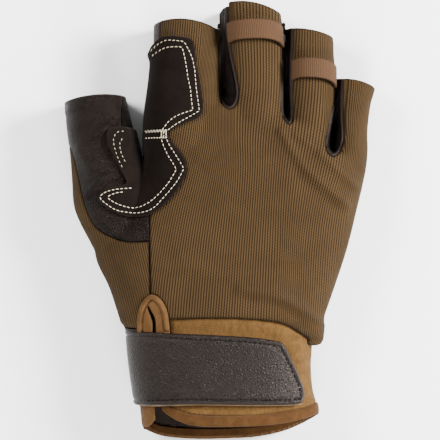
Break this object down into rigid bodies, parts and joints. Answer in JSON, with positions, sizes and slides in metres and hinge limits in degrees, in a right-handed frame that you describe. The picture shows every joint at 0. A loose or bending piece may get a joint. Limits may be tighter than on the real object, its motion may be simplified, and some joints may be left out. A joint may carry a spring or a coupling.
{
  "type": "climbing glove",
  "caption": "Right-hand half-finger climbing glove with a ribbed fabric back, leather palm, stitched suede patch at the thumb crotch, pull loops on two fingers and a wrist strap.",
  "frame": {"origin": "middle of the palm, on the flat face that the glove lies on", "axes": "+X towards the little finger's side, +Y towards the fingertips, +Z from the palm to the back of the hand"},
  "size_m": [0.1346, 0.1898, 0.0362],
  "materials": {
    "ribbed_fabric": "ribbed stretch fabric, coyote brown",
    "grain_leather": "dark brown grained leather",
    "palm_leather": "dark brown smooth leather",
    "cuff_suede": "ochre brushed suede",
    "tan_binding": "tan folded leather",
    "patch_suede": "very dark brown suede",
    "loop_webbing": "tan woven webbing",
    "hook_tape": "tan hook tape",
    "strap_leather": "dark brown pebbled leather"
  },
  "bodies": {
    "root": {"back_panel": "ribbed_fabric", "thumb_back_panel": "ribbed_fabric", "thumb_panel": "grain_leather", "thumb_side_panel": "grain_leather", "palm_panel": "palm_leather", "fourchette_index": "grain_leather", "fourchette_middle": "grain_leather", "fourchette_ring": "grain_leather", "cuff_band": "cuff_suede", "cuff_binding": "tan_binding", "palm_binding": "tan_binding", "vent_binding": "tan_binding", "crotch_patch": "patch_suede", "pull_loop_middle": "loop_webbing", "pull_loop_ring": "loop_webbing", "strap_backing": "hook_tape", "strap": "strap_leather"}
  },
  "joints": []
}
